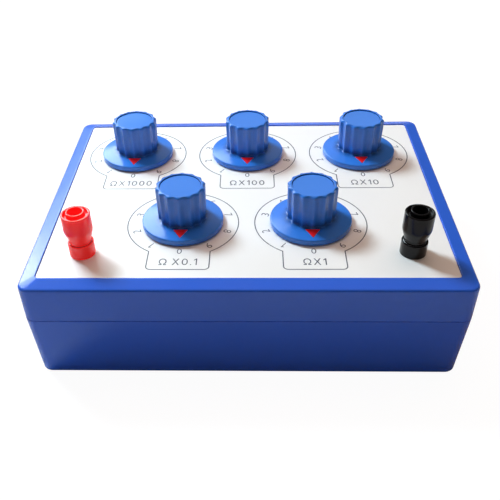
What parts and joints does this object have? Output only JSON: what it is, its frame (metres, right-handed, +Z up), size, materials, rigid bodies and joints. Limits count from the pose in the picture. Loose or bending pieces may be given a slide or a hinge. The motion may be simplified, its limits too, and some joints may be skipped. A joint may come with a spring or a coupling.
{
  "type": "decade resistance box",
  "caption": "Bench decade resistance box: two-shell plastic case, white dial panel, fluted skirted knobs that turn without a stop, and screw-down binding posts with plug sockets.",
  "frame": {"origin": "middle of the underside, on the surface that the box stands on", "axes": "+X to the right and +Y to the back as the dials are read, +Z up"},
  "size_m": [0.1902, 0.1502, 0.0714],
  "materials": {
    "case_plastic": "moulded, satin gloss, royal blue",
    "knob_plastic": "moulded, satin gloss, bright blue",
    "panel_print": "white sheet with fine printed dial lines and figures",
    "pointer_red": "red",
    "post_red": "moulded, glossy red",
    "post_black": "moulded, glossy black",
    "brass": "turned",
    "nickel": "nickel plated",
    "steel": "zinc plated",
    "switch_plastic": "dark phenolic",
    "board": "green laminate",
    "lead_red": "red insulation",
    "lead_black": "black insulation"
  },
  "bodies": {
    "case": {"lower_shell": "case_plastic", "upper_shell": "case_plastic", "face_panel": "panel_print", "resistor_board": "board", "case_screw_front_left": "steel", "case_screw_front_right": "steel", "case_screw_back_left": "steel", "case_screw_back_right": "steel", "bush_nut_x1000": "nickel", "bush_nut_x100": "nickel", "bush_nut_x10": "nickel", "bush_nut_x1": "nickel", "bush_nut_x0_1": "nickel", "switch_body_x1000": "switch_plastic", "switch_body_x100": "switch_plastic", "switch_body_x10": "switch_plastic", "switch_body_x1": "switch_plastic", "switch_body_x0_1": "switch_plastic", "post_collar_red": "post_red", "post_stud_red": "brass", "post_nut_red": "nickel", "post_lead_red": "lead_red", "post_collar_black": "post_black", "post_stud_black": "brass", "post_nut_black": "nickel", "post_lead_black": "lead_black"},
    "dial_x1000": {"knob_x1000": "knob_plastic", "knob_cap_x1000": "knob_plastic", "pointer_x1000": "pointer_red", "grub_screw_x1000": "steel", "shaft_x1000": "nickel", "wiper_x1000": "brass"},
    "dial_x100": {"knob_x100": "knob_plastic", "knob_cap_x100": "knob_plastic", "pointer_x100": "pointer_red", "grub_screw_x100": "steel", "shaft_x100": "nickel", "wiper_x100": "brass"},
    "dial_x10": {"knob_x10": "knob_plastic", "knob_cap_x10": "knob_plastic", "pointer_x10": "pointer_red", "grub_screw_x10": "steel", "shaft_x10": "nickel", "wiper_x10": "brass"},
    "dial_x1": {"knob_x1": "knob_plastic", "knob_cap_x1": "knob_plastic", "pointer_x1": "pointer_red", "grub_screw_x1": "steel", "shaft_x1": "nickel", "wiper_x1": "brass"},
    "dial_x0_1": {"knob_x0_1": "knob_plastic", "knob_cap_x0_1": "knob_plastic", "pointer_x0_1": "pointer_red", "grub_screw_x0_1": "steel", "shaft_x0_1": "nickel", "wiper_x0_1": "brass"},
    "clamp_red": {"clamp_washer_red": "nickel"},
    "cap_red": {"post_cap_red": "post_red"},
    "clamp_black": {"clamp_washer_black": "nickel"},
    "cap_black": {"post_cap_black": "post_black"}
  },
  "joints": [
    {"name": "dial_x1000_turn", "type": "hinge", "parent": "case", "child": "dial_x1000", "pos_m": [-0.0582, 0.036, 0.05], "axis": [0, 0, -1], "continuous": true},
    {"name": "dial_x100_turn", "type": "hinge", "parent": "case", "child": "dial_x100", "pos_m": [0, 0.036, 0.05], "axis": [0, 0, -1], "continuous": true},
    {"name": "dial_x10_turn", "type": "hinge", "parent": "case", "child": "dial_x10", "pos_m": [0.0582, 0.036, 0.05], "axis": [0, 0, -1], "continuous": true},
    {"name": "dial_x1_turn", "type": "hinge", "parent": "case", "child": "dial_x1", "pos_m": [0.0291, -0.028, 0.05], "axis": [0, 0, -1], "continuous": true},
    {"name": "dial_x0_1_turn", "type": "hinge", "parent": "case", "child": "dial_x0_1", "pos_m": [-0.0291, -0.028, 0.05], "axis": [0, 0, -1], "continuous": true},
    {"name": "clamp_red_lift", "type": "slide", "parent": "case", "child": "clamp_red", "axis": [0, 0, 1], "range_m": [0, 0.005]},
    {"name": "cap_red_turn", "type": "hinge", "parent": "clamp_red", "child": "cap_red", "pos_m": [-0.0712, -0.0503, 0.06], "axis": [0, 0, 1], "range_deg": [0, 1800]},
    {"name": "clamp_black_lift", "type": "slide", "parent": "case", "child": "clamp_black", "axis": [0, 0, 1], "range_m": [0, 0.005]},
    {"name": "cap_black_turn", "type": "hinge", "parent": "clamp_black", "child": "cap_black", "pos_m": [0.0712, -0.0503, 0.06], "axis": [0, 0, 1], "range_deg": [0, 1800]}
  ],
  "couplings": [
    {"joint": "cap_red_turn", "follows": "clamp_red_lift", "rad_per_m": 6283.2},
    {"joint": "cap_black_turn", "follows": "clamp_black_lift", "rad_per_m": 6283.2}
  ]
}
